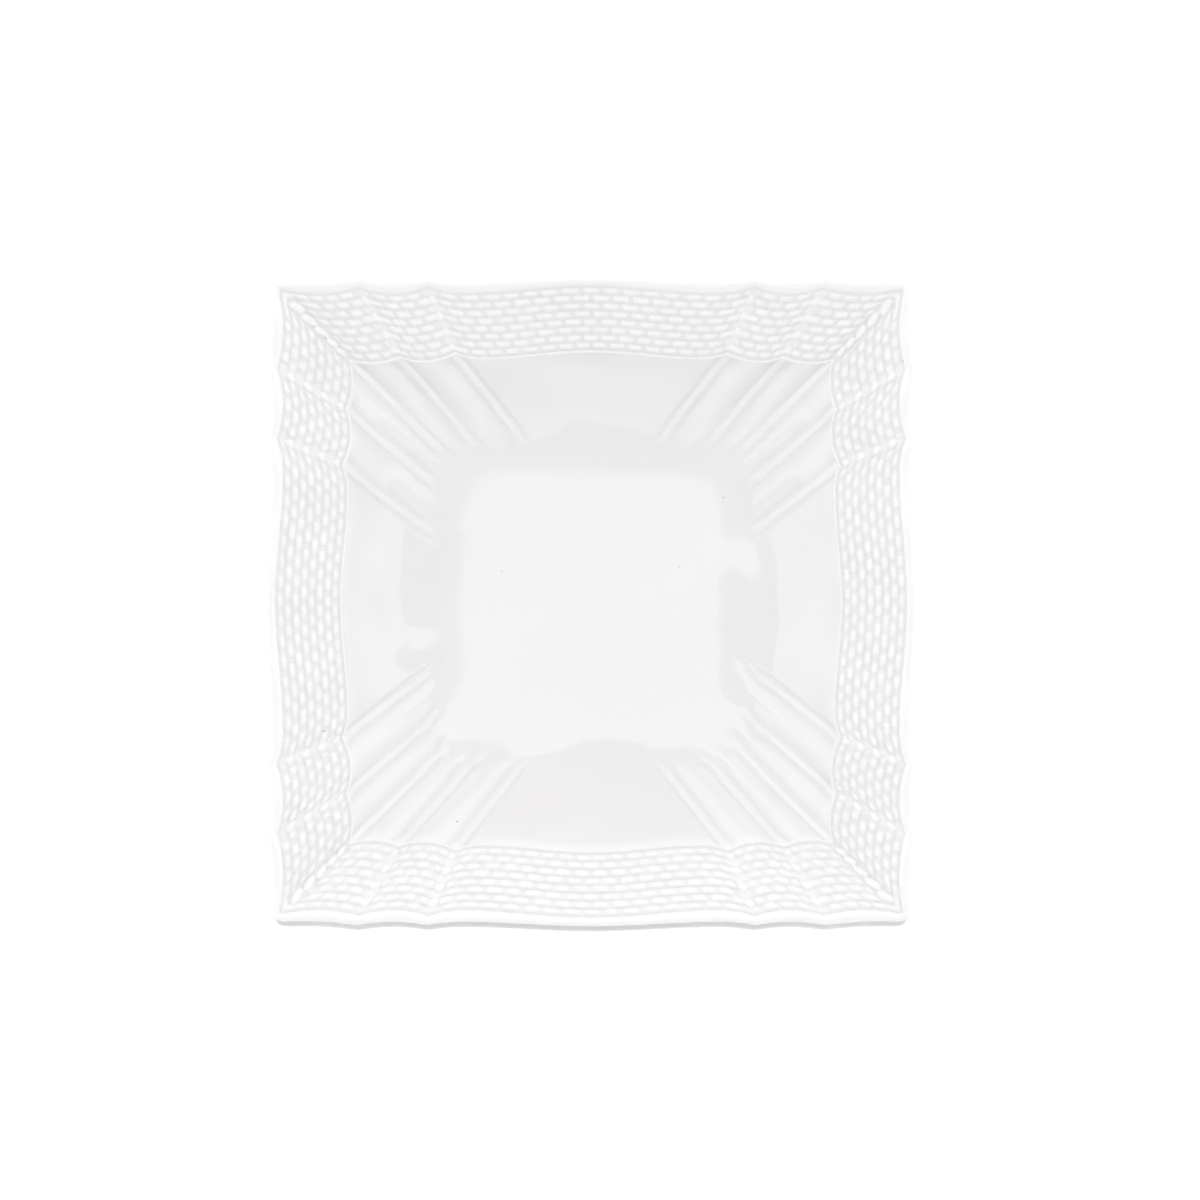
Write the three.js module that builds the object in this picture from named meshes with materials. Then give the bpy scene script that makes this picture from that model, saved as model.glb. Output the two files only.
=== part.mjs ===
// Square porcelain serving plate: a fluted well, a basket-weave rim with a scalloped edge,
// and a foot ring under the base. Millimetres, +Z up. The origin is on the table, under the
// middle of the plate.
import * as THREE from "three";

// Overall sizes
const plateWidth = 280; // lip to lip, across the middle of two opposite sides
const plateHeight = 42; // table to the crest of the lip

// Foot ring
const footHeight = 4;
const footWidth = 132; // outer face to outer face
const footSeatWidth = 6.5; // where the ring is luted to the base
const footStandWidth = 3; // flat face on the table
const footBevel = 0.7; // between the stand and the ring's sides
const footCornerRadius = 34;

// Well
const baseThickness = 5;
const wellDepth = 21; // inner floor to the bead
const floorWidth = 104; // flat part of the inner floor
const floorCornerRadius = 26;
const wallCurve = 2; // 1 is a straight wall, more hollows it
const underCurve = 1.4; // the same for the underside of the wall
const baseMargin = 3; // flat base outside the foot ring

// Rim
const rimWidth = 28.8; // foot of the bead to weave line, across the middle of a side
const rimThickness = 4.2;
const lipWidth = 4; // weave line to lip edge, across the middle of a side
const lipRise = 1.6; // weave line to the lip's crest
const lipThickness = 4;
const lipCrest = 0.55; // share of the lip's width where its crest lies

// Raised ornament
const beadHeight = 1.2;
const beadWidth = 1.7;
const weaveRows = 8;
const strandHeight = 1.6;
const gapHeight = 0.6; // the stake that shows in the gap between two strands of a row
const gapShare = 0.3; // of a strand's pitch
const shortestStrand = 0.4; // of a strand's pitch, where a rib cuts one off
const longPitch = 8.1; // strands in the long middle of a side
const lobePitch = 6.6; // strands in the short lobes
const stakeHeight = 2; // the rim's ribs, in the rows where they lie over the strands
const coveredStake = 0.9; // the same where the strands lie over them
const stakeWidth = 3;
const cordHeight = 1.9; // the rib in each corner of the rim
const cordWidth = 3.5;
const cordEnd = 0.9; // share of the rim's width where that rib ends
const ribHeight = 0.5; // the wall's ribs
const grooveDepth = 0.6; // on both sides of a rib
const bellyHeight = 0.4; // the wall's lobes, halfway between two ribs
const grooveReach = 3.3; // middle of a rib to the bottom of its groove
const ribReach = 6.3; // middle of a side's first rib to the plain wall
const ribFoot = 0.3; // share of the wall's width that stays plain above the floor
const ribGrown = 0.42; // share where the ribs have their full height
const firstRibFoot = 0.45; // first rib at the floor, as a share of the way to the second

// The scalloped lines. Each side runs from its middle through a shallow dip to a first cusp,
// a second cusp and the corner. An inset is measured inwards from the line's reach at the
// middle of the side. A sag is how far a lobe hangs in from the chord between its ends.
const lipEdge = scallopedLine({
  middle: plateWidth / 2,
  cornerInset: 1.6,
  cornerLobe: 37.4,
  firstLobe: 30.2,
  dipBeforeCusp: 14.9,
  cuspInsets: [0.4, 0.4],
  dipInset: 1.9,
  sags: [1.5, 1.1],
  rounding: 7,
});
const weaveLine = scallopedLine({
  middle: lipEdge.middle - lipWidth,
  cornerInset: 1.2,
  cornerLobe: 34.7,
  firstLobe: 29.7,
  dipBeforeCusp: 14.9,
  cuspInsets: [0.4, 0.7],
  dipInset: 3.3,
  sags: [2.8, 2.4],
  rounding: 3,
});
const beadLine = scallopedLine({
  middle: weaveLine.middle - rimWidth,
  cornerInset: 3.7,
  cornerLobe: 21.2,
  firstLobe: 23.9,
  dipBeforeCusp: 11.4,
  cuspInsets: [0.8, 2.6],
  dipInset: 3,
  sags: [2.7, 1.9],
  rounding: 1,
});

function scallopedLine(sizes) {
  const corner = sizes.middle - sizes.cornerInset;
  const second = corner - sizes.cornerLobe;
  const first = second - sizes.firstLobe;
  return { ...sizes, corner, second, first, dip: first - sizes.dipBeforeCusp };
}

// Strands in each stretch of half a side, counted from its middle to the corner
const strandCount = (inner, outer, pitch) => Math.max(2, Math.round((inner + outer) / 2 / pitch));
const longStrands = strandCount(beadLine.first, weaveLine.first, longPitch);
const lobeStrands = strandCount(beadLine.firstLobe, weaveLine.firstLobe, lobePitch);
const cornerStrands = strandCount(beadLine.cornerLobe, weaveLine.cornerLobe, lobePitch);
const firstCusp = longStrands;
const secondCusp = firstCusp + lobeStrands;
const halfSide = secondCusp + cornerStrands;
const ribPlaces = [firstCusp, secondCusp, halfSide];

// Where a scalloped line lies at a place on a side, counted in strands from the side's middle:
// its distance along the side and its reach out from the plate's centre.
function onScallops(line, place) {
  const count = Math.abs(place);
  let along, inset;
  if (count <= firstCusp) {
    along = (line.first * count) / firstCusp;
    inset = bracketInset(line, along);
  } else {
    const inCorner = count > secondCusp;
    const share = inCorner ? (count - secondCusp) / cornerStrands : (count - firstCusp) / lobeStrands;
    const [start, end] = inCorner ? [line.second, line.corner] : [line.first, line.second];
    const [from, to] = inCorner ? [line.cuspInsets[1], line.cornerInset] : line.cuspInsets;
    along = THREE.MathUtils.lerp(start, end, share);
    inset = THREE.MathUtils.lerp(from, to, share) + line.sags[inCorner ? 1 : 0] * 4 * share * (1 - share);
  }
  // A quadratic curve rounds the corner.
  const pull = (line.rounding / 4) * Math.max(0, 1 - (line.corner - along) / line.rounding) ** 2;
  return { along: Math.sign(place) * (along - pull), reach: line.middle - inset - pull };
}

// The long middle of a side falls in a half wave to its dip, then rises in a parabola to the cusp.
function bracketInset(line, along) {
  if (along <= line.dip) return (line.dipInset * (1 - Math.cos((Math.PI * along) / line.dip))) / 2;
  const share = (along - line.dip) / line.dipBeforeCusp;
  return line.dipInset + (line.cuspInsets[0] - line.dipInset) * share ** 2;
}

// A square with round corners, read at the same places as the scalloped lines, so that the two can
// be lofted. A place lies at its share of the length from the middle of the side to the corner.
function onRoundedSquare(width, radius, place) {
  const straight = width / 2 - radius;
  const length = (straight + (radius * Math.PI) / 4) * (Math.abs(place) / halfSide);
  if (length <= straight) return { along: Math.sign(place) * length, reach: width / 2 };
  const turn = (length - straight) / radius;
  return {
    along: Math.sign(place) * (straight + radius * Math.sin(turn)),
    reach: straight + radius * Math.cos(turn),
  };
}

// On the floor's edge the first rib stands nearer to the middle of the side than on the bead.
function floorEdge(place) {
  const count = Math.abs(place);
  const firstFoot = firstRibFoot * secondCusp;
  let foot = count;
  if (count < firstCusp) foot = (firstFoot * count) / firstCusp;
  else if (count < secondCusp) {
    foot = THREE.MathUtils.mapLinear(count, firstCusp, secondCusp, firstFoot, secondCusp);
  }
  return onRoundedSquare(floorWidth, floorCornerRadius, Math.sign(place) * foot);
}

const baseEdge = (place) => onRoundedSquare(footWidth + 2 * baseMargin, footCornerRadius + baseMargin, place);
const onBead = (place) => onScallops(beadLine, place);
const onWeaveLine = (place) => onScallops(weaveLine, place);
const onLipEdge = (place) => onScallops(lipEdge, place);

// A closed ring of vertices round the plate. at(place) gives along and reach, height(place) the z.
function ring(places, at, height) {
  const points = [];
  const turns = [];
  for (let side = 0; side < 4; side++) {
    const angle = (side * Math.PI) / 2;
    for (const place of places) {
      const { along, reach } = at(place);
      points.push(
        new THREE.Vector3(
          along * Math.cos(angle) + reach * Math.sin(angle),
          along * Math.sin(angle) - reach * Math.cos(angle),
          height(place),
        ),
      );
      turns.push(side + (place + halfSide) / (2 * halfSide));
    }
  }
  return { points, turns };
}

// Points at a share of the way between two lines
function between(inner, outer, share) {
  return (place) => {
    const from = inner(place);
    const to = outer(place);
    return {
      along: THREE.MathUtils.lerp(from.along, to.along, share),
      reach: THREE.MathUtils.lerp(from.reach, to.reach, share),
    };
  };
}

// Skins a run of rings into one closed surface. Rings may have different vertex counts: each strip
// steps along whichever ring has the nearer next vertex. Open runs get a flat fan at both ends.
function skin(rings, closed) {
  const positions = [];
  const starts = [];
  for (const { points } of rings) {
    starts.push(positions.length / 3);
    for (const point of points) positions.push(point.x, point.y, point.z);
  }
  const triangles = [];
  const strips = closed ? rings.length : rings.length - 1;
  for (let strip = 0; strip < strips; strip++) {
    const next = (strip + 1) % rings.length;
    zip(rings[strip].turns, rings[next].turns, starts[strip], starts[next], triangles);
  }
  if (!closed) {
    fan(rings[0], starts[0], 1);
    fan(rings.at(-1), starts.at(-1), -1);
  }
  const geometry = new THREE.BufferGeometry();
  geometry.setAttribute("position", new THREE.Float32BufferAttribute(positions, 3));
  geometry.setIndex(triangles);
  geometry.computeVertexNormals();
  return geometry;

  function fan({ points }, start, facing) {
    const centre = positions.length / 3;
    positions.push(0, 0, points[0].z);
    points.forEach((_, i) => {
      const pair = [start + i, start + ((i + 1) % points.length)];
      triangles.push(centre, ...(facing > 0 ? pair : pair.reverse()));
    });
  }
}

function zip(turnsA, turnsB, startA, startB, triangles) {
  const turnAt = (turns, i) => (i < turns.length ? turns[i] : turns[i - turns.length] + 4);
  let a = 0;
  let b = 0;
  while (a < turnsA.length || b < turnsB.length) {
    const cornerA = startA + (a % turnsA.length);
    const cornerB = startB + (b % turnsB.length);
    const stepA = turnAt(turnsA, a) + turnAt(turnsA, a + 1);
    const stepB = turnAt(turnsB, b) + turnAt(turnsB, b + 1);
    if (b >= turnsB.length || (a < turnsA.length && stepA < stepB)) {
      a++;
      triangles.push(cornerA, cornerB, startA + (a % turnsA.length));
    } else {
      b++;
      triangles.push(cornerA, cornerB, startB + (b % turnsB.length));
    }
  }
}

// Stretches of half a side between its ribs, as [first place, last place]
const stretches = [
  [0, firstCusp],
  [firstCusp, secondCusp],
  [secondCusp, halfSide],
];

// Places on half a side, copied to the other half. A corner belongs to the next side.
function bothHalves(places) {
  const sorted = [...new Set(places)].sort((a, b) => a - b);
  const left = sorted.filter((place) => place > 0).map((place) => -place);
  return [...left.reverse(), ...sorted.filter((place) => place < halfSide)];
}

const isRib = (place) => ribPlaces.includes(Math.abs(place));

// One place per strand
const wholePlaces = bothHalves(Array.from({ length: halfSide + 1 }, (_, i) => i));

// Facets: the shares of a stretch where its columns of vertices stand, and the steps up the wall
const wallColumns = { long: [0, 0.4, 0.8], lobe: [0, 0.5] };
const underColumns = { long: [0, 0.5, 0.8], lobe: [0, 0.5] };
const wallSteps = 5;
const underSteps = 4;

function columnsOf({ long, lobe }) {
  return stretches.flatMap(([from, to]) =>
    [...(from === 0 ? long : lobe), 1].map((share) => THREE.MathUtils.lerp(from, to, share)),
  );
}

// Well: floor, fluted wall with its ribs, and the bead
const floorTop = footHeight + baseThickness;
const wallTop = floorTop + wellDepth;

// Heights of the ribs, the grooves beside them and the lobes between them on half a side, by place.
// at(place) is the ring they lie on.
function flutes(at) {
  const heights = new Map(ribPlaces.map((place) => [place, ribHeight]));
  for (const [from, to] of stretches) {
    const start = at(from);
    const end = at(to);
    const pitch = Math.hypot(end.along - start.along, end.reach - start.reach) / (to - from);
    const groove = Math.min(grooveReach / pitch, 1);
    heights.set(to - groove, -grooveDepth);
    if (from > 0) heights.set(from + groove, -grooveDepth).set((from + to) / 2, bellyHeight);
    else heights.set(to - ribReach / pitch, 0);
  }
  return heights;
}

function wallRing(share) {
  const at = between(floorEdge, onBead, share);
  const grown = THREE.MathUtils.smoothstep(share, ribFoot, ribGrown);
  const heights = grown > 0 ? flutes(at) : new Map();
  const rise = floorTop + wellDepth * share ** wallCurve;
  return ring(
    bothHalves([...columnsOf(wallColumns), ...heights.keys()]),
    at,
    (place) => rise + grown * (heights.get(Math.abs(place)) ?? 0),
  );
}

// Weave: rows of strands that run along the rim, each row half a strand out of step with the next
const weaveTop = plateHeight - lipRise;
const rimLevel = (share) => THREE.MathUtils.lerp(wallTop, weaveTop, share);
const onRim = (share) => between(onBead, onWeaveLine, share);
const beadShare = beadWidth / rimWidth;
const rowShare = (row) => THREE.MathUtils.lerp(beadShare, 1, row / weaveRows);

// Stretches of a row between its ribs, with the clear part between the edges of those ribs and the
// places that a millimetre takes up
function rowStretches(share) {
  const lengths = ["first", "firstLobe", "cornerLobe"].map((name) =>
    THREE.MathUtils.lerp(beadLine[name], weaveLine[name], share),
  );
  return stretches.map(([from, to], i) => {
    const perMm = (to - from) / lengths[i];
    const before = from === 0 ? 0 : (stakeWidth / 2) * perMm;
    // The cord crosses the rows at 45 degrees.
    const after = (to === halfSide ? cordWidth * Math.SQRT1_2 : stakeWidth / 2) * perMm;
    return { from, to, clear: [from + before, to - after], perMm };
  });
}

function strandsOf(row) {
  const outOfStep = row % 2 === 1;
  return rowStretches(rowShare(row + 1 / 2)).flatMap(({ from, to, clear, perMm }) => {
    const byCord = to === halfSide;
    // The strands of a corner lobe keep their pitch, and the cord in the corner cuts the last one off.
    const step = byCord ? lobePitch * perMm : 1;
    const half = outOfStep ? step / 2 : 0;
    const last = byCord ? clear[1] : to;
    // In a row that is out of step, one strand lies across the middle of the side.
    const ends = [from === 0 ? -half : clear[0]];
    for (let end = from + (half || step); last - end > shortestStrand * step; end += step) ends.push(end);
    ends.push(clear[1]);
    const gap = (gapShare / 2) * step;
    return ends.slice(1).map((end, i) => {
      const start = ends[i];
      // Strands that are out of step lie over the stakes, and reach them at their full height.
      const fromStake = outOfStep && from > 0 && i === 0;
      const toStake = outOfStep && !byCord && end === clear[1];
      return { start, end, crest: [fromStake ? start : start + gap, toStake ? end : end - gap] };
    });
  });
}

// A stake lies over the strands of one row and under those of the next. The cord in each corner
// stops short of the weave line.
function ribRise(place, rowPlace) {
  const share = rowShare(rowPlace);
  if (Math.abs(place) === halfSide) {
    return cordHeight * (1 - THREE.MathUtils.smoothstep(share, cordEnd - beadShare, cordEnd));
  }
  const shows = (1 + Math.sin(Math.PI * rowPlace)) / 2;
  return rowPlace < weaveRows ? THREE.MathUtils.lerp(coveredStake, stakeHeight, shows) : 0;
}

// A groove's vertices stand a quarter strand from the strand ends, so that the rows on both of its
// sides meet it alike.
const groovePlaces = Array.from({ length: halfSide }, (_, i) => i + 1 / 4).filter(
  (place) => !ribPlaces.includes(Math.floor(place)),
);

function grooveRing(row) {
  const share = rowShare(row);
  const ribEdges = rowStretches(share).flatMap(({ clear }) => clear);
  return ring(
    bothHalves([...groovePlaces, ...ribEdges, ...ribPlaces]),
    onRim(share),
    (place) => rimLevel(share) + (isRib(place) ? ribRise(place, row) : 0),
  );
}

function strandRing(row) {
  const strands = strandsOf(row);
  const crests = strands.flatMap(({ crest }) => crest).filter((place) => place >= 0);
  const ends = strands.flatMap(({ start, end }) => [start, end]).filter((place) => place >= 0);
  const rowMiddle = row + 1 / 2;
  const share = rowShare(rowMiddle);
  return ring(bothHalves([...crests, ...ends, ...ribPlaces]), onRim(share), (place) => {
    if (isRib(place)) return rimLevel(share) + ribRise(place, rowMiddle);
    return rimLevel(share) + (crests.includes(Math.abs(place)) ? strandHeight : gapHeight);
  });
}

// Lip and underside
const underPlaces = bothHalves(columnsOf(underColumns));
const onLip = (share) => between(onWeaveLine, onLipEdge, share);
const level = (height) => () => height;
const rimSlope = Math.hypot(1, (weaveTop - wallTop) / rimWidth);
const underRim = (share) => rimLevel(share) - rimThickness * rimSlope;
const underBead = underRim(0);

function underWall(share) {
  return ring(
    underPlaces,
    between(baseEdge, onBead, share),
    level(footHeight + (underBead - footHeight) * share ** underCurve),
  );
}

function plateBody() {
  const rings = [];
  for (let step = 0; step <= wallSteps; step++) rings.push(wallRing(step / wallSteps));
  const beadCrest = beadShare / 2;
  rings.push(ring(wholePlaces, onRim(beadCrest), level(rimLevel(beadCrest) + beadHeight)));
  for (let row = 0; row < weaveRows; row++) rings.push(grooveRing(row), strandRing(row));
  rings.push(grooveRing(weaveRows));
  rings.push(ring(wholePlaces, onLip(lipCrest), level(plateHeight)));
  rings.push(ring(wholePlaces, onLip(1), level(plateHeight - lipThickness / 2)));
  rings.push(ring(underPlaces, onLip(lipCrest), level(plateHeight - lipThickness)));
  rings.push(ring(underPlaces, onRim(1 / 2), level(underRim(1 / 2))));
  for (let step = underSteps; step >= 0; step--) rings.push(underWall(step / underSteps));
  return skin(rings, false);
}

// Foot ring: a tapered section carried round a square with round corners, open in the middle
function footRing() {
  const taper = (footSeatWidth - footStandWidth) / 2;
  const section = [
    [0, footHeight],
    [taper - footBevel, footBevel],
    [taper, 0],
    [footSeatWidth - taper, 0],
    [footSeatWidth - taper + footBevel, footBevel],
    [footSeatWidth, footHeight],
  ];
  const rings = section.map(([inset, height]) =>
    ring(
      underPlaces,
      (place) => onRoundedSquare(footWidth - 2 * inset, footCornerRadius - inset, place),
      level(height),
    ),
  );
  return skin(rings, true);
}

const glazedWhite = new THREE.MeshStandardMaterial({ color: 0xf2f0ef, roughness: 0.12, metalness: 0 });
const bareWhite = new THREE.MeshStandardMaterial({ color: 0xe9e5dd, roughness: 0.8, metalness: 0 });

function named(name, geometry, material) {
  const mesh = new THREE.Mesh(geometry, material);
  mesh.name = name;
  return mesh;
}

const plate = new THREE.Group();
plate.add(named("porcelain_body", plateBody(), glazedWhite));
plate.add(named("foot_ring", footRing(), bareWhite));

export default plate;
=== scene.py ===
import bpy
import numpy as np
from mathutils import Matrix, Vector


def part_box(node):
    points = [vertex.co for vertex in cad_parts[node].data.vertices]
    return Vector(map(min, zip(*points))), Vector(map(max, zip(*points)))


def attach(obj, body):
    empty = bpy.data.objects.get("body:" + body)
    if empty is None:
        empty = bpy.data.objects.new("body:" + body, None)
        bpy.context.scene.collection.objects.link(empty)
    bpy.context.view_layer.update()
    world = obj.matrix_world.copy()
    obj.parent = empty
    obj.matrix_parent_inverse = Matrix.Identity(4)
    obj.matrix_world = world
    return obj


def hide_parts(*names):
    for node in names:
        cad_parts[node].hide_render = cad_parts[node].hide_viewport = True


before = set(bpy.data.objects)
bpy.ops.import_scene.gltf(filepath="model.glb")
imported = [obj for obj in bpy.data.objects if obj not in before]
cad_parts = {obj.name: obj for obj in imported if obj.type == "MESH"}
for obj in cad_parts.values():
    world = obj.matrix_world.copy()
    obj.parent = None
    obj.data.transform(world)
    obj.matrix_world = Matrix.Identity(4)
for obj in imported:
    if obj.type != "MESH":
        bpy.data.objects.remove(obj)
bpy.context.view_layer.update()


# Plate body
# One piece of white porcelain, pressed in a mould that gives it the fluted well, the basket-weave
# rim and the scalloped lip, then dipped in a clear glaze and fired to a gloss.
mm = 0.001
body_low, body_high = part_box("porcelain_body")
base_z = body_low.z
lip_top = body_high.z
lip_half = body_high.x

base_thickness, well_depth, lip_rise = 5 * mm, 21 * mm, 1.6 * mm
floor_top = base_z + base_thickness
wall_top = floor_top + well_depth
weave_top = lip_top - lip_rise
floor_half, floor_radius = 52 * mm, 26 * mm
base_half, base_radius = 69 * mm, 37 * mm
wall_curve, under_curve = 2, 1.4
rim_width, rim_thickness = 28.8 * mm, 4.2 * mm
lip_width, lip_thickness, lip_crest = 4 * mm, 4 * mm, 0.55
bead_width, bead_height = 1.7 * mm, 1.2 * mm
weave_rows = 8
strand_height, stake_height = 1.6 * mm, 0.5 * mm
lobe_pitch = 6.6 * mm

# Places on a side are counted in strands from its middle: two cusps, then the corner. They stand
# close together at the ends of the strands, and the far corner is left to the next side.
first_cusp, second_cusp, half_side = 8, 12, 16
in_strand = np.array([0, 0.08, 0.17, 0.33, 0.42, 0.5, 0.58, 0.67, 0.83, 0.92])
places = (np.arange(-half_side, half_side)[:, None] + in_strand).ravel()


def scalloped_line(middle, **sizes):
    """A scalloped line round the plate, from its reach at the middle of a side. The corner, the
    second cusp, the first cusp and the dip follow from each other, from the corner inwards."""
    corner = middle - sizes["corner_inset"]
    second = corner - sizes["corner_lobe"]
    first = second - sizes["first_lobe"]
    dip = first - sizes["dip_before_cusp"]
    return dict(sizes, middle=middle, corner=corner, second=second, first=first, dip=dip)


lip_edge = scalloped_line(
    lip_half,
    corner_inset=1.6 * mm, corner_lobe=37.4 * mm, first_lobe=30.2 * mm, dip_before_cusp=14.9 * mm,
    cusp_insets=(0.4 * mm, 0.4 * mm), dip_inset=1.9 * mm, sags=(1.5 * mm, 1.1 * mm), rounding=7 * mm,
)
weave_line = scalloped_line(
    lip_half - lip_width,
    corner_inset=1.2 * mm, corner_lobe=34.7 * mm, first_lobe=29.7 * mm, dip_before_cusp=14.9 * mm,
    cusp_insets=(0.4 * mm, 0.7 * mm), dip_inset=3.3 * mm, sags=(2.8 * mm, 2.4 * mm), rounding=3 * mm,
)
bead_line = scalloped_line(
    lip_half - lip_width - rim_width,
    corner_inset=3.7 * mm, corner_lobe=21.2 * mm, first_lobe=23.9 * mm, dip_before_cusp=11.4 * mm,
    cusp_insets=(0.8 * mm, 2.6 * mm), dip_inset=3 * mm, sags=(2.7 * mm, 1.9 * mm), rounding=1 * mm,
)


def lerp(start, end, share):
    """Share 0 gives start and share 1 gives end."""
    return start + (end - start) * share


def smooth(low, high, value):
    """0 below low and 1 above high, with the cubic 3t^2 - 2t^3 between them."""
    t = np.clip((value - low) / (high - low), 0, 1)
    return t * t * (3 - 2 * t)


def on_scallops(line, place):
    """Distance along the side, and reach from the plate's centre, of a scalloped line. The long
    middle falls in a half wave to its dip and rises in a parabola to the first cusp. Each lobe
    hangs in a parabola from the chord between its ends. A quadratic curve rounds the corner."""
    count = np.abs(place)
    along = np.interp(
        count, [0, first_cusp, second_cusp, half_side], [0, line["first"], line["second"], line["corner"]]
    )
    wave = line["dip_inset"] * (1 - np.cos(np.pi * np.minimum(along / line["dip"], 1))) / 2
    climb = np.maximum(along - line["dip"], 0) / line["dip_before_cusp"]
    bracket = wave + (line["cusp_insets"][0] - line["dip_inset"]) * climb**2
    near = (count - first_cusp) / (second_cusp - first_cusp)
    far = (count - second_cusp) / (half_side - second_cusp)
    first_lobe = lerp(*line["cusp_insets"], near) + line["sags"][0] * 4 * near * (1 - near)
    corner_chord = lerp(line["cusp_insets"][1], line["corner_inset"], far)
    corner_lobe = corner_chord + line["sags"][1] * 4 * far * (1 - far)
    inset = np.select([count <= first_cusp, count <= second_cusp], [bracket, first_lobe], corner_lobe)
    pull = line["rounding"] / 4 * np.maximum(0, 1 - (line["corner"] - along) / line["rounding"]) ** 2
    return np.stack([np.sign(place) * (along - pull), line["middle"] - inset - pull])


def on_rounded_square(half, radius, place):
    """The same for a square with round corners: a place lies at its share of the length from the
    middle of the side, along the straight and then round the arc to the corner."""
    straight = half - radius
    length = (straight + radius * np.pi / 4) * np.abs(place) / half_side
    turn = np.maximum(length - straight, 0) / radius
    along = np.minimum(length, straight) + radius * np.sin(turn)
    return np.stack([np.sign(place) * along, straight + radius * np.cos(turn)])


def around(plan, z):
    """Turns rows of points from one side onto all four. plan holds along and reach, each with one
    row per ring, and z the heights, either one per ring or one per point of all four sides."""
    turn = np.arange(4)[:, None] * np.pi / 2
    along, reach = plan[0][:, None, :], plan[1][:, None, :]
    x = (along * np.cos(turn) + reach * np.sin(turn)).reshape(len(z), -1)
    y = (along * np.sin(turn) - reach * np.cos(turn)).reshape(len(z), -1)
    return np.stack([x, y, np.broadcast_to(z.reshape(len(z), -1), x.shape)], axis=-1)


def blend_plan(inner, outer, shares):
    """One row of plan points per share of the way from the inner line to the outer one."""
    return lerp(inner[:, None, :], outer[:, None, :], np.asarray(shares)[None, :, None])


def chance(number):
    """A fixed scatter from 0 to 1: the fraction of a large multiple of a sine."""
    return np.modf(np.abs(np.sin(number * 12.9898) * 43758.5453))[0]


bead_share = bead_width / rim_width
row_width = (rim_width - bead_width) / weave_rows
gap_wander, rib_stop = 0.12, 0.2  # shares of a strand's pitch
rib_stake_half, rib_stake_reach, rib_stake_height = 1.9 * mm, 2.2 * mm, 1.9 * mm
ridge_height, cord_height, tip_level = 0.9 * mm, 2 * mm, 0.75 * mm
cord_ends = np.array([0, 4, 9, 15, 22, 29.5, 37]) * mm  # of its lumps, up the mitre from the bead

# By side, anticlockwise from the near one: how narrow the gaps are; how strongly the low parts of the
# weave are painted darker, a painted shade that is weaker on the near side; and the lip's painted shade
# above zero, or its thinner glaze below zero.
gap_scale = np.array([1, 0.95, 1.3, 0.95])
weave_shade_by_side = np.array([0.9, 1.35, 1.35, 1.35])
lip_shade_by_side = np.array([0, -0.4, 0.4, -0.4])
# The darkest that the weave's painted shade, partly pooled glaze, may go.
deepest_weave_shade = 1.1


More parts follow.
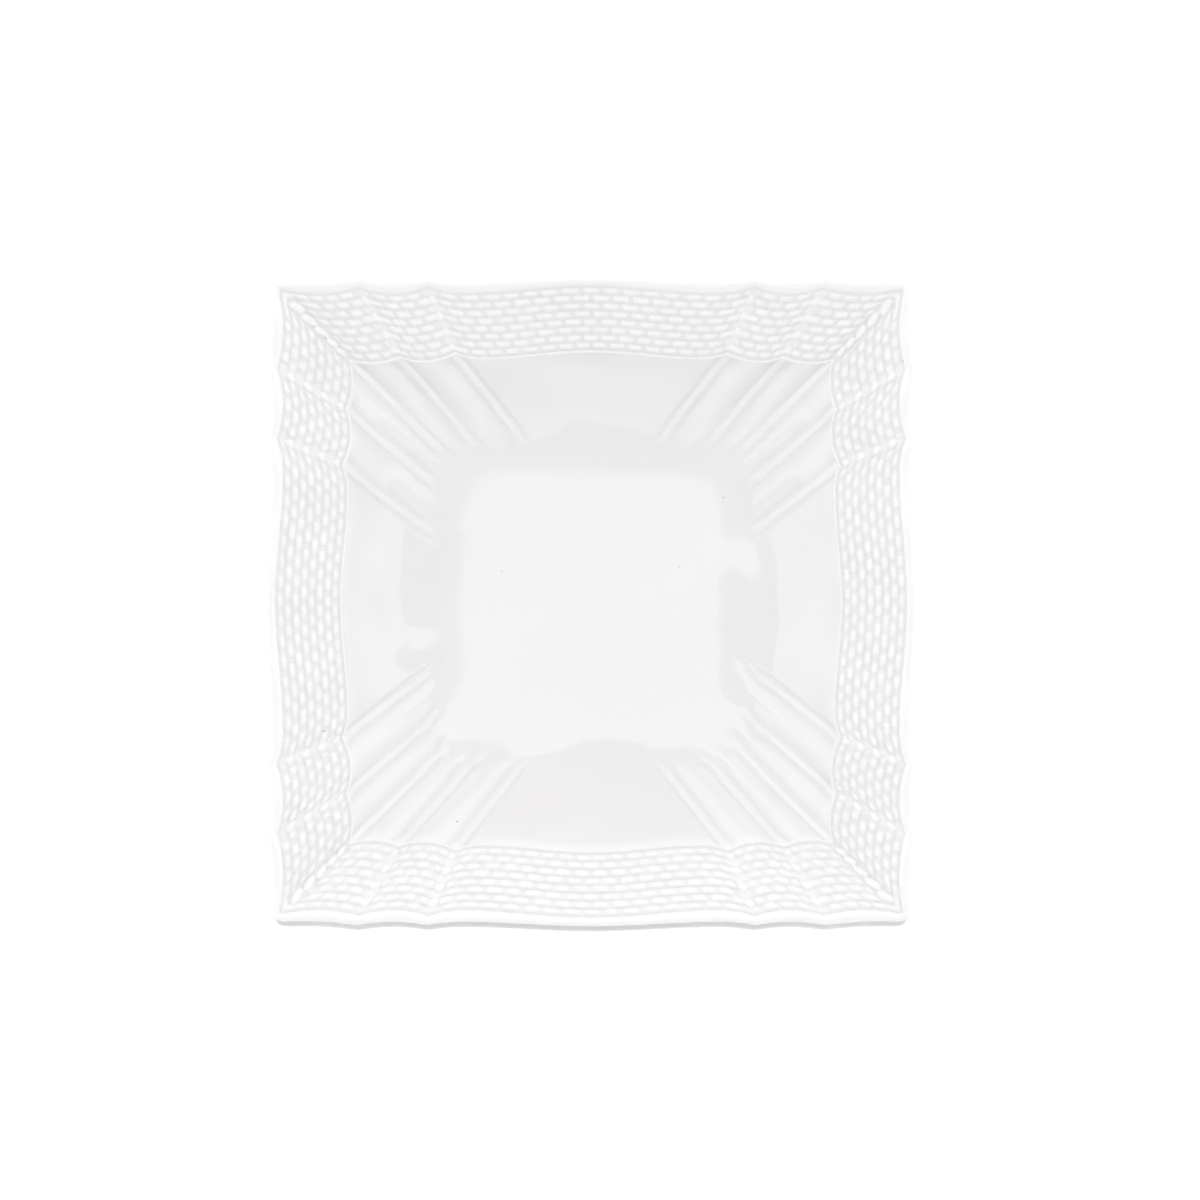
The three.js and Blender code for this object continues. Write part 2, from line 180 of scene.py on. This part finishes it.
def weave_relief(plan, row_place, share):
    """Height of the weave above the rim, for rows of points at row_place, counted in strand rows
    from the bead. A strand is a dome across its row and a nearly flat crest along it, with a gap at
    each end, set off its place by chance, where the stake behind it shows. Rows are half a strand
    out of step. A rib is a soft ridge with a thick stake on it, an ellipsoid, that shows between the
    strands of every other row and lies under a flattened strand in the next. In the corner a cord of
    rounded lumps covers the mitre, and the strands keep their pitch until it cuts them off. The
    relief is level at the tips of the cusps, and sinks beside the bead and at the weave line."""
    along, reach = np.tile(plan, (1, 1, 4))
    place = np.tile(places, 4)[None, :]
    side = np.repeat(np.arange(4), place.shape[1] // 4)[None, :]
    count = np.abs(place)
    row = np.minimum(np.floor(row_place), weave_rows - 1)[:, None]
    across = row_place[:, None] - row
    share = share[:, None]

    lobe_length = lerp(bead_line["corner_lobe"], weave_line["corner_lobe"], share)
    in_lobe = np.maximum(count - second_cusp, 0) / (half_side - second_cusp) * lobe_length
    phase = np.where(count > second_cusp, second_cusp + in_lobe / lobe_pitch, count) * np.sign(place)
    shifted = phase + (row % 2) / 2
    strand = np.floor(shifted)
    luck, slant = chance(strand + 37 * row + 311 * side), chance(strand + 53 * row + 197 * side + 0.5) - 0.5
    wander = gap_wander * (chance(np.round(shifted) + 71 * row + 131 * side) - 0.5)
    gap = np.abs(shifted - np.round(shifted) - wander) * gap_scale[side]

    to_corner = lobe_length - in_lobe
    near_corner = (1 - smooth(7 * mm, 11 * mm, to_corner)) * (count > second_cusp)
    plain = near_corner * smooth(6.4, 7, row_place[:, None])
    gap = lerp(gap, 0.5, plain)

    unit = np.select(
        [count < first_cusp, count < second_cusp],
        [
            lerp(bead_line["first"], weave_line["first"], share) / first_cusp,
            lerp(bead_line["first_lobe"], weave_line["first_lobe"], share) / (second_cusp - first_cusp),
        ],
        lobe_length / (half_side - second_cusp),
    )
    to_rib = np.minimum(np.abs(count - first_cusp), np.abs(count - second_cusp)) * unit
    stops = rib_stop * (1 - smooth(2.8 * mm, 4.8 * mm, to_rib)) * (row % 2 == 0)

    centred = np.minimum(np.abs(2 * across - 1 + 0.16 * slant), 1)
    dome = np.maximum(1 - centred**2.1, 0) ** 0.7
    crest = smooth(0.07 + stops, 0.24 + stops, gap) * (0.85 + 0.15 * np.sin(np.pi * np.minimum(gap, 0.5)))
    strands = strand_height * (0.82 + 0.3 * luck + slant * (shifted - strand - 0.5)) * dome * crest
    stakes = stake_height * (1 - centred**4) * (1 - smooth(0.1, 0.2, gap))

    along_rib = (np.mod(row_place[:, None] + 0.5, 2) - 1) * row_width
    stake = np.clip(1 - (to_rib / rib_stake_half) ** 2 - (along_rib / rib_stake_reach) ** 2, 0, 1) ** 0.45
    strands = np.where(row % 2 == 0, strands, strands * (0.4 + 0.6 * smooth(0.6 * mm, 2.4 * mm, to_rib)))
    ridge = ridge_height * (1 - smooth(0.8 * mm, 3.6 * mm, to_rib)) * (1 - 0.5 * centred**4)
    relief = np.maximum(np.maximum(strands, stakes), np.maximum(ridge, rib_stake_height * stake))

    to_mitre = np.abs(reach - np.abs(along)) / np.sqrt(2)
    up_mitre = (reach + np.abs(along)) / np.sqrt(2) - np.sqrt(2) * bead_line["corner"]
    turn_place = np.interp(up_mitre, cord_ends, np.arange(len(cord_ends)))
    turn = np.floor(turn_place)
    lean = turn_place - turn - 0.5 + 0.15 * np.sign(place) * to_mitre / mm
    cord_half = lerp(1.3 * mm, 2.2 * mm, turn / 5)
    cord = np.clip(1 - (to_mitre / cord_half) ** 2 - (lean / 0.6) ** 2, 0, 1) ** 0.5
    on_mitre = (up_mitre > 0) & (up_mitre < cord_ends[-1])
    relief = relief * np.where(on_mitre, smooth(0.8 * cord_half, cord_half + 1.2 * mm, to_mitre), 1)
    relief = np.maximum(relief, cord_height * cord * on_mitre)

    outward = reach - weave_line["middle"]
    to_tip = np.minimum(
        np.hypot(np.abs(along) - weave_line["first"], outward + weave_line["cusp_insets"][0]),
        np.hypot(np.abs(along) - weave_line["second"], outward + weave_line["cusp_insets"][1]),
    )
    relief = lerp(relief, tip_level, 1 - smooth(1.2 * mm, 4.2 * mm, to_tip))
    beside_bead = smooth(0.08, 0.3, row_place[:, None])
    return relief * beside_bead * (1 - smooth(weave_rows - 0.3, weave_rows, row_place[:, None]))


def rim_rings():
    """The weave from the foot of the bead to the weave line, each strand row cut at five places,
    then the lip: a quarter wave up to its crest and half an ellipse round its edge. The attribute it
    returns for the weave is a painted shade, partly pooled glaze, higher where the relief is lower;
    on the lip it is set by side."""
    on_bead, on_weave, on_lip = (on_scallops(line, places) for line in (bead_line, weave_line, lip_edge))
    cuts = np.array([0, 0.15, 0.38, 0.62, 0.85])
    row_place = np.append((np.arange(weave_rows)[:, None] + cuts).ravel(), weave_rows)
    share = lerp(bead_share, 1, row_place / weave_rows)
    plan = blend_plan(on_bead, on_weave, share)
    relief = weave_relief(plan, row_place, share)
    weave = around(plan, lerp(wall_top, weave_top, share)[:, None] + relief)

    climb = np.array([0.25, 0.6])
    bend = np.radians([0, 32, 62, 90, 130, 180])
    lip_share = np.concatenate([lip_crest * climb, lip_crest + (1 - lip_crest) * np.sin(bend)])
    lip_z = np.concatenate([
        weave_top + (lip_top - weave_top) * np.sin(np.pi / 2 * climb) ** 0.8,
        lip_top - lip_thickness / 2 * (1 - np.cos(bend)),
    ])
    lip = around(blend_plan(on_weave, on_lip, lip_share), lip_z)
    per_side = relief.shape[1] // 4
    # Painted shade in the weave's low parts, stronger on the far and side rims than on the near one.
    depth = np.repeat(weave_shade_by_side, per_side) * (1 - np.clip(relief / strand_height, 0, 1))
    # On the lip, by side: a painted shade on the far lip, and thinner glaze on the right and left lips.
    on_edge = np.broadcast_to(np.repeat(lip_shade_by_side, per_side), lip.shape[:2])
    glaze_pool_and_painted_light = np.concatenate([np.minimum(depth, deepest_weave_shade), on_edge])
    return np.concatenate([weave, lip]), glaze_pool_and_painted_light


first_rib_foot = 5.4  # its place on the floor's edge
rib_reach, groove_half, plain_reach = 3.3 * mm, 2.4 * mm, 3 * mm
ridge_rise, valley_depth, lobe_rise = 1.1 * mm, 0.6 * mm, 1 * mm
# A painted shade that greys the bead a little.
bead_painted_shade = 0.15


def well_rings():
    """The well from its middle to the bead: the flat floor, the wall, which rises as the square of
    its width, and the bead, half a sine wave. A rib is a squared cosine ridge with a valley on each
    side. From its valley the wall swells to a convex lobe between two ribs, a power of a sine, or
    to the plain wall in the long middle. Ribs and lobes grow from the floor up. The attribute it
    returns paints shade into the valleys, partly pooled glaze, and is below zero on the ridges and
    lobes, a painted highlight that is partly thinner glaze. The bead is painted a little darker, a
    painted shade."""
    marks = [0, first_cusp, second_cusp, half_side]
    spread = np.interp(np.abs(places), marks, [0, first_rib_foot, second_cusp, half_side])
    on_floor = on_rounded_square(floor_half, floor_radius, np.sign(places) * spread)
    on_bead, on_weave = (on_scallops(line, places) for line in (bead_line, weave_line))
    floor_share = np.array([0.35, 0.75])
    floor = around(on_floor[:, None, ::2] * floor_share[:, None], np.full(2, floor_top))

    share = np.linspace(0, 1, 18)
    plan = blend_plan(on_floor, on_bead, share)
    count = np.abs(places)[None, :]
    rib_line = np.array([first_cusp, second_cusp, half_side])[:, None, None]
    step = np.hypot(np.gradient(plan[0], places, axis=1), np.gradient(plan[1], places, axis=1))
    to_rib = np.abs(count - rib_line).min(axis=0) * step
    grown = smooth(0.3, 0.42, share)[:, None]
    rib_half = np.minimum(rib_reach, step)
    beyond = np.maximum(to_rib - rib_half, 0)
    ridge = np.cos(np.pi / 2 * np.minimum(to_rib / rib_half, 1)) ** 2
    belly = np.sin(np.pi / 2 * np.minimum(beyond / (2 * step - rib_half), 1)) ** 1.4
    plain = np.sin(np.pi / 2 * np.minimum(beyond / plain_reach, 1)) ** 2
    groove = np.cos(np.pi / 2 * np.minimum(np.abs(to_rib - rib_half) / groove_half, 1)) ** 2
    beside = np.where(count > first_cusp, lobe_rise * belly, valley_depth * plain)
    ribs = grown * (ridge_rise * ridge + beside - valley_depth)
    wall_z = (floor_top + (wall_top - floor_top) * share**wall_curve)[:, None] + ribs
    wall = around(plan, np.tile(wall_z, (1, 4)))

    bead_at = np.array([0.25, 0.5, 0.75])
    bead_z = lerp(wall_top, weave_top, bead_share * bead_at) + bead_height * np.sin(np.pi * bead_at)
    bead = around(blend_plan(on_bead, on_weave, bead_share * bead_at), bead_z)
    # Painted shade in the valleys beside the ribs, partly pooled glaze, and a painted highlight, partly
    # thinner glaze, on the ridges and lobes.
    wall_painted_light = grown * (0.5 * groove - 0.5 * ridge**2 - 0.3 * belly * (count > first_cusp))
    glaze_pool_and_painted_light = np.concatenate([
        np.zeros(floor[..., 0].size),
        np.tile(wall_painted_light, (1, 4)).ravel(),
        np.full(bead[..., 0].size, bead_painted_shade),
    ])
    return [*floor, *wall, *bead], glaze_pool_and_painted_light


def under_rings():
    """The underside from below the lip to the middle of the base: the rim and the wall at their
    thickness, eased where they meet by averaging each ring with its neighbours, then the flat base."""
    drop = rim_thickness * np.hypot(1, (weave_top - wall_top) / rim_width)
    edge = around(on_scallops(weave_line, places[::2])[:, None, :], np.array([weave_top - drop]))
    on_base = on_rounded_square(base_half, base_radius, places[::4])
    on_bead, on_weave = (on_scallops(line, places[::4]) for line in (bead_line, weave_line))
    rim_share = np.linspace(0.9, 0.1, 7)
    wall_share = np.linspace(1, 0, 13)
    rim = around(blend_plan(on_bead, on_weave, rim_share), lerp(wall_top, weave_top, rim_share) - drop)
    wall_z = base_z + (wall_top - drop - base_z) * wall_share**under_curve
    wall = around(blend_plan(on_base, on_bead, wall_share), wall_z)
    rings = np.concatenate([rim, wall])
    for _ in range(4):
        rings[1:-1] = (rings[:-2] + 2 * rings[1:-1] + rings[2:]) / 4
    base_share = np.array([0.9, 0.6, 0.3])
    base = around(on_base[:, None, :] * base_share[:, None], np.full(3, base_z))
    return [*edge, *rings, *base]


def join_rings(rings, first_pole, last_pole):
    """Faces between rings that run from the first pole to the last: quads between rings of one
    count, three triangles per pair where one ring has twice the points of the other, and fans at
    the poles. A ring's points run anticlockwise from above."""
    starts = np.cumsum([0] + [len(ring) for ring in rings])
    quads, triangles = [], []
    for first, second, ring, next_ring in zip(starts, starts[1:], rings, rings[1:]):
        many, few = max(len(ring), len(next_ring)), min(len(ring), len(next_ring))
        i = np.arange(few)
        j = (i + 1) % few
        if many == few:
            quads.append(np.stack([first + i, second + i, second + j, first + j], axis=1))
        elif len(ring) == few:
            a, b, c = second + 2 * i, second + 2 * i + 1, second + (2 * i + 2) % many
            triangles += [
                np.stack([first + i, a, b], axis=1),
                np.stack([first + i, b, first + j], axis=1),
                np.stack([first + j, b, c], axis=1),
            ]
        else:
            a, b, c = first + 2 * i, first + 2 * i + 1, first + (2 * i + 2) % many
            triangles += [
                np.stack([a, second + i, b], axis=1),
                np.stack([b, second + i, second + j], axis=1),
                np.stack([b, second + j, c], axis=1),
            ]
    points = np.concatenate([*rings, [first_pole], [last_pole]])
    i = np.arange(len(rings[0]))
    triangles.append(np.stack([np.full(len(i), len(points) - 2), i, (i + 1) % len(i)], axis=1))
    i = np.arange(len(rings[-1]))
    last, following = starts[-2] + i, starts[-2] + (i + 1) % len(i)
    triangles.append(np.stack([np.full(len(i), len(points) - 1), following, last], axis=1))
    return points, np.concatenate(quads), np.concatenate(triangles)


def mesh_object(name, points, quads, triangles, material):
    """A smooth mesh from whole arrays of points, four-cornered faces and three-cornered faces."""
    mesh = bpy.data.meshes.new(name)
    corners = np.concatenate([quads.ravel(), triangles.ravel()])
    sizes = np.concatenate([np.full(len(quads), 4), np.full(len(triangles), 3)])
    mesh.vertices.add(len(points))
    mesh.vertices.foreach_set("co", points.astype(np.float32).ravel())
    mesh.loops.add(len(corners))
    mesh.loops.foreach_set("vertex_index", corners.astype(np.int32))
    mesh.polygons.add(len(sizes))
    mesh.polygons.foreach_set("loop_start", np.concatenate([[0], np.cumsum(sizes)[:-1]]).astype(np.int32))
    mesh.polygons.foreach_set("use_smooth", np.ones(len(sizes), bool))
    mesh.update(calc_edges=True)
    mesh.materials.append(material)
    made = bpy.data.objects.new(name, mesh)
    bpy.context.scene.collection.objects.link(made)
    return made


class Shade:
    """One output of a material's nodes. Arithmetic on it adds Math nodes, and node() adds any other."""

    def __init__(self, tree, socket=None):
        self.tree = tree
        self.socket = socket

    def node(self, kind, settings, sockets, output=0):
        made = self.tree.nodes.new(kind)
        for name, value in settings.items():
            setattr(made, name, value)
        for name, value in sockets.items():
            if isinstance(value, Shade):
                self.tree.links.new(value.socket, made.inputs[name])
            else:
                made.inputs[name].default_value = value
        return Shade(self.tree, made.outputs[output])

    def math(self, operation, *values):
        return self.node("ShaderNodeMath", {"operation": operation}, dict(enumerate(values)))

    def clamped(self):
        return self.node("ShaderNodeClamp", {}, {"Value": self})

    def above(self, low, high):
        return self.node("ShaderNodeMapRange", {"interpolation_type": "SMOOTHSTEP"},
                         {"Value": self, "From Min": low, "From Max": high})

    def tint(self, low, high):
        return self.node("ShaderNodeMix", {"data_type": "RGBA"}, {"Factor": self, 6: low, 7: high}, 2)

    def __add__(self, other):
        return self.math("ADD", self, other)

    def __sub__(self, other):
        return self.math("SUBTRACT", self, other)

    def __rsub__(self, other):
        return self.math("SUBTRACT", other, self)

    def __mul__(self, other):
        return self.math("MULTIPLY", self, other)

    __radd__ = __add__
    __rmul__ = __mul__


def new_material(name):
    """An empty node material, its start for Shade, and its output node."""
    material = bpy.data.materials.new(name)
    material.use_nodes = True
    material.node_tree.nodes.clear()
    output = material.node_tree.nodes.new("ShaderNodeOutputMaterial")
    return material, Shade(material.node_tree), output


def glaze_material():
    """Clear glaze on white porcelain in faint clouds of warm and cool white. Below the top of the wall
    it is painted greyer, a painted shade in the well. Where the point attribute is above zero it is
    painted darker, a painted shade that is partly pooled glaze; below zero it is mixed to a thinner
    glaze, a painted highlight on the well's ridges and lobes. A few specks of iron, scattered in plan,
    darken it, each by its own share. The bump is a slow wave about zero, stronger off the floor, with
    a fine ripple and grain."""
    material, start, output = new_material("glazed_porcelain")
    where = start.node("ShaderNodeTexCoord", {}, {}, "Object")
    glaze_pool_and_painted_light = start.node("ShaderNodeAttribute", {"attribute_name": "glaze_pool_and_painted_light"}, {}, "Fac")
    cloud = start.node("ShaderNodeTexNoise", {}, {"Vector": where, "Scale": 14.0, "Detail": 3.0})
    ripple = start.node("ShaderNodeTexNoise", {}, {"Vector": where, "Scale": 120.0, "Detail": 2.0})
    grain = start.node("ShaderNodeTexNoise", {}, {"Vector": where, "Scale": 1600.0, "Detail": 1.0})
    in_plan = {"voronoi_dimensions": "2D"}
    cells = {"Vector": where, "Scale": 52.0, "Randomness": 1.0}
    from_speck = start.node("ShaderNodeTexVoronoi", in_plan, cells, "Distance")
    pick = start.node("ShaderNodeTexVoronoi", in_plan, cells, "Color")
    picked = start.node("ShaderNodeSeparateColor", {}, {"Color": pick}, "Red")
    faint = start.node("ShaderNodeSeparateColor", {}, {"Color": pick}, "Green")
    speck = (1 - from_speck.above(0.012, 0.022)) * picked.above(0.965, 0.97) * (0.8 - 0.6 * faint)

    warm, cool = (0.925, 0.918, 0.918, 1), (0.915, 0.916, 0.916, 1)
    well_shade_warm, well_shade_cool = (0.848, 0.832, 0.839, 1), (0.838, 0.830, 0.835, 1)
    thin_glaze_and_highlight, pooled_and_shaded_grey, iron = (0.905, 0.895, 0.898, 1), (0.730, 0.735, 0.738, 1), (0.16, 0.12, 0.09, 1)
    cloudy = cloud.above(0.35, 0.65)
    up = start.node("ShaderNodeSeparateXYZ", {}, {"Vector": where}, "Z")
    # Painted shade: below the top of the wall the white is mixed to a greyer one.
    depth = up.above(wall_top - 3 * mm, wall_top + 1.5 * mm)
    clay = depth.tint(cloudy.tint(well_shade_warm, well_shade_cool), cloudy.tint(warm, cool))
    # Painted shade where the point attribute is above zero, partly pooled glaze, and thinner glaze below
    # zero, a painted highlight on the well's ridges and lobes.
    clay = (glaze_pool_and_painted_light * 0.6).tint((glaze_pool_and_painted_light * -1).tint(clay, thin_glaze_and_highlight), pooled_and_shaded_grey)
    clay = speck.tint(clay, iron)
    wave = start.node("ShaderNodeTexNoise", {}, {"Vector": where, "Scale": 26.0, "Detail": 1.0})
    off_floor = up.above(floor_top, floor_top + 2 * mm)
    height = (wave - 0.5) * (1.2 + 3 * off_floor) + ripple * 0.03 + grain * 0.002
    bump = start.node("ShaderNodeBump", {}, {"Height": height, "Strength": 1.0, "Distance": mm})
    gloss = start.node("ShaderNodeBsdfPrincipled", {}, {
        "Base Color": clay,
        "Roughness": 0.035 + cloud * 0.04 + glaze_pool_and_painted_light * 0.06,
        "Normal": bump,
        "IOR": 1.6,
    })
    start.tree.links.new(gloss.socket, output.inputs["Surface"])
    return material


well, well_painted_light = well_rings()
rim, rim_painted_light = rim_rings()
under = under_rings()
points, quads, triangles = join_rings([*well, *rim, *under], [0, 0, floor_top], [0, 0, base_z])
plate_body = mesh_object("plate_body", points, quads, triangles, glaze_material())
# Painted shade and highlight, partly pooled and thinner glaze, stored on the points for the glaze colour.
glaze_pool_and_painted_light = np.concatenate([well_painted_light, rim_painted_light.ravel(), np.zeros(len(points) - well_painted_light.size - rim_painted_light.size)])
plate_body.data.attributes.new("glaze_pool_and_painted_light", "FLOAT", "POINT").data.foreach_set("value", glaze_pool_and_painted_light.astype(np.float32))
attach(plate_body, "root")
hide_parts("porcelain_body")


# Foot ring
# A ring of the same porcelain, rolled and luted under the base with slip before firing. Its
# standing edge is wiped clean of glaze and ground flat after the kiln, so it shows bare and matt.
ring_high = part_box("foot_ring")[1]
ring_half = ring_high.x
seat_width, stand_width, ring_radius = 6.5 * mm, 3 * mm, 34 * mm


def foot_section():
    """Inset from the ring's outer face, and height, once round the section: the seat, a side that
    tapers in, a quarter round onto the flat stand, and the same back up the inner side."""
    taper = (seat_width - stand_width) / 2
    turn = np.radians([0, 25, 50, 75, 90])
    edge = 0.8 * mm
    outer_inset = taper - edge * np.sin(turn[::-1])
    outer = np.stack([outer_inset, edge * (1 - np.cos(turn[::-1]))], axis=1)
    top = ring_high.z
    seat_edge, shoulder = [0.0, top], [0.25 * mm, 0.7 * top]
    outer = np.concatenate([[seat_edge, shoulder], outer])
    inner = outer[::-1] * [-1, 1] + [seat_width, 0]
    return np.concatenate([outer, inner])


def join_loop(rings):
    """Faces between rings that run once round a section and meet their own start."""
    count = len(rings[0])
    first = (np.arange(len(rings)) * count)[:, None]
    second = np.roll(first, -1, axis=0)
    i, j = np.arange(count), (np.arange(count) + 1) % count
    quads = np.stack([first + i, second + i, second + j, first + j], axis=-1).reshape(-1, 4)
    return np.concatenate(list(rings)), quads


def bare_material():
    """Unglazed porcelain: warm white with a fine grain and grey rub marks, matt on the standing
    edge, and glazed on the sides above a line that wanders a little."""
    material, start, output = new_material("bare_porcelain")
    where = start.node("ShaderNodeTexCoord", {}, {}, "Object")
    height = start.node("ShaderNodeSeparateXYZ", {}, {"Vector": where}, "Z")
    wander = start.node("ShaderNodeTexNoise", {}, {"Vector": where, "Scale": 90.0, "Detail": 3.0})
    grain = start.node("ShaderNodeTexNoise", {}, {"Vector": where, "Scale": 2600.0, "Detail": 2.0})
    rubbing = {"Vector": where, "Scale": 160.0, "Detail": 5.0, "Roughness": 0.7}
    rub = start.node("ShaderNodeTexNoise", {}, rubbing)
    line_wander, line_low, line_high = 0.0016, 0.0016, 0.0019
    glazed = (height + (wander - 0.5) * line_wander).above(line_low, line_high)
    bare = (rub.above(0.52, 0.75) * 0.5).tint((0.70, 0.665, 0.60, 1), (0.56, 0.54, 0.50, 1))
    bare = (grain.above(0.45, 0.7) * 0.25).tint(bare, (0.80, 0.77, 0.71, 1))
    colour = glazed.tint(bare, (0.862, 0.856, 0.850, 1))
    bump = start.node("ShaderNodeBump", {}, {
        "Height": grain * (1 - glazed) + glazed * 0.6, "Strength": 0.35, "Distance": 0.0004,
    })
    finish = start.node("ShaderNodeBsdfPrincipled", {}, {
        "Base Color": colour, "Roughness": 0.82 - glazed * 0.72, "Normal": bump, "IOR": 1.53,
    })
    start.tree.links.new(finish.socket, output.inputs["Surface"])
    return material


section = foot_section()
ring_rows = np.concatenate([
    around(on_rounded_square(ring_half - inset, ring_radius - inset, places[::2])[:, None, :], np.array([z]))
    for inset, z in section
])
points, quads = join_loop(ring_rows)
foot_ring = mesh_object("foot_ring_bare", points, quads, np.empty((0, 3), int), bare_material())
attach(foot_ring, "root")
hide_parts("foot_ring")


# Table
# A plain white matt table, 8 m across. To the camera, the gloss and light that passes through, it is
# whiter than to the light that it sends back to the plate: the ground is white, and the shadow stays.
direct_rays = ("Is Camera Ray", "Is Glossy Ray", "Is Transmission Ray")
table_material, start, output = new_material("white_table")
seen = sum(start.node("ShaderNodeLightPath", {}, {}, kind) for kind in direct_rays).clamped()
table_white, seen_white = (0.9, 0.9, 0.9, 1), (1.2, 1.2, 1.2, 1)
matt = start.node("ShaderNodeBsdfDiffuse", {}, {"Color": seen.tint(table_white, seen_white)})
start.tree.links.new(matt.socket, output.inputs["Surface"])
table_half = 4.0
table = mesh_object(
    "table",
    table_half * np.array([[-1, -1, 0], [1, -1, 0], [1, 1, 0], [-1, 1, 0]]),
    np.array([[0, 1, 2, 3]]), np.empty((0, 3), int), table_material,
)


# Light
# Soft light from all round, a panel overhead, four broad boxes, and a distant lamp almost overhead
# that draws the thin shadow below the plate. Gloss sees none of these lamps: it sees a white sky
# with darker parts, which mirror in the well.
scene = bpy.context.scene
scene.view_settings.view_transform = "Standard"
world = bpy.data.worlds.new("studio")
scene.world = world
world.use_nodes = True
world.node_tree.nodes.clear()
sky = Shade(world.node_tree)
camera_ray, glossy_ray, through_ray = (sky.node("ShaderNodeLightPath", {}, {}, kind) for kind in direct_rays)
ambient, low_light, sky_white = 0.14, 1.9, 1.05
toward = sky.node("ShaderNodeTexCoord", {}, {}, "Generated")
across, back, up = (sky.node("ShaderNodeSeparateXYZ", {}, {"Vector": toward}, axis) for axis in "XYZ")
level = ambient + low_light * (1 + 0.5 * back) * (1 - up.above(0.05, 0.35))

# Darker parts of the mirrored sky. The floor mirrors what is overhead, and each wall the sky across
# from it: the far wall the near sky, and the near wall the far sky.
overhead = up.above(0.988, 0.9997)
beside = sky.math("ABSOLUTE", across)
ahead = 1 - beside.above(0.19, 0.25)
heading = sky.math("DIVIDE", back, sky.math("MAXIMUM", beside, 0.001))
near_part = 1 - heading.above(-1.3, -0.8)
side_part = (1 - heading.above(0.16, 0.22)) * (1 - near_part)
to_sides = up.above(0.703, 0.715) * side_part
straightened = up + 0.43 * sky.math("MINIMUM", beside, 0.18)
high_near = straightened.above(0.854, 0.87) * (0.6 + 0.4 * ahead)
to_near = near_part * sky.math("MAXIMUM", high_near, ahead * 0.2)
to_far = back.above(0.25, 0.275) * (0.3 + 0.7 * ahead)
low_sky = 0.35 - 0.35 * up.above(0.3, 0.55)
ring = sky.math("MAXIMUM", to_sides, to_near) * (1 - overhead)
dark = sky.math("MAXIMUM", ring, sky.math("MAXIMUM", to_far, low_sky))
mirrored = sky_white - sky_white * dark
light_sky = sky.node("ShaderNodeBackground", {}, {
    "Color": (1, 1, 1, 1),
    "Strength": level * (1 - (camera_ray + glossy_ray + through_ray).clamped()) + camera_ray + through_ray
    + glossy_ray * mirrored,
})
sky_output = world.node_tree.nodes.new("ShaderNodeOutputWorld")
world.node_tree.links.new(light_sky.socket, sky_output.inputs["Surface"])


def lamp_object(name, lamp, place, target):
    """Puts a lamp at its place and turns it to its target. The camera and the gloss don't see it."""
    made = bpy.data.objects.new(name, lamp)
    scene.collection.objects.link(made)
    made.location = place
    made.visible_camera = False
    made.visible_glossy = False
    aim = np.array(target) - np.array(place)
    from_above = np.arctan2(np.hypot(aim[0], aim[1]), -aim[2])
    made.rotation_euler = (from_above, 0, np.arctan2(aim[1], aim[0]) - np.pi / 2)
    return made


def softbox(name, place, width, height, brightness):
    """A rectangular lamp that faces the plate. Its power is brightness times pi times its area."""
    lamp = bpy.data.lights.new(name, "AREA")
    lamp.shape = "RECTANGLE"
    lamp.size = width
    lamp.size_y = height
    lamp.energy = brightness * np.pi * width * height
    return lamp_object(name, lamp, place, (0, 0, 0))


ceiling, panel_side = 1.5, 0.95
box_reach, box_up, box_width, box_height = 1.3, 1.05, 1.0, 0.95
softbox("ceiling_panel", (0, 0, ceiling), panel_side, panel_side, 0.65)
softbox("far_box", (0, box_reach, box_up), box_width, box_height, 1.08)
softbox("right_box", (box_reach, 0, box_up), box_width, box_height, 1.0)
softbox("left_box", (-box_reach, 0, box_up), box_width, box_height, 1.0)
softbox("near_box", (0, -box_reach, box_up), box_width, box_height, 1.25)

shadow_lean, shadow_strength, shadow_spread = 0.14, 0.545, 2.5
shadow_lamp = bpy.data.lights.new("shadow_lamp", "SUN")
shadow_lamp.energy = shadow_strength * np.pi
shadow_lamp.angle = np.radians(shadow_spread)
lamp_object("shadow_lamp", shadow_lamp, (0, shadow_lean, ceiling), (0, 0, 0))


# Camera
# Straight above the plate, with a long lens, and so far away that the white ground round the plate
# is in view.
lens, sensor = 300 * mm, 36 * mm
frame_width = 517.7 * mm
aim_offset = (3.8 * mm, 0.75 * mm)
camera_data = bpy.data.cameras.new("camera")
camera_data.lens = lens / mm
camera_data.sensor_width = sensor / mm
camera_data.clip_end = 50
camera = bpy.data.objects.new("camera", camera_data)
scene.collection.objects.link(camera)
camera.location = (*aim_offset, lip_top + frame_width * lens / sensor)
scene.camera = camera
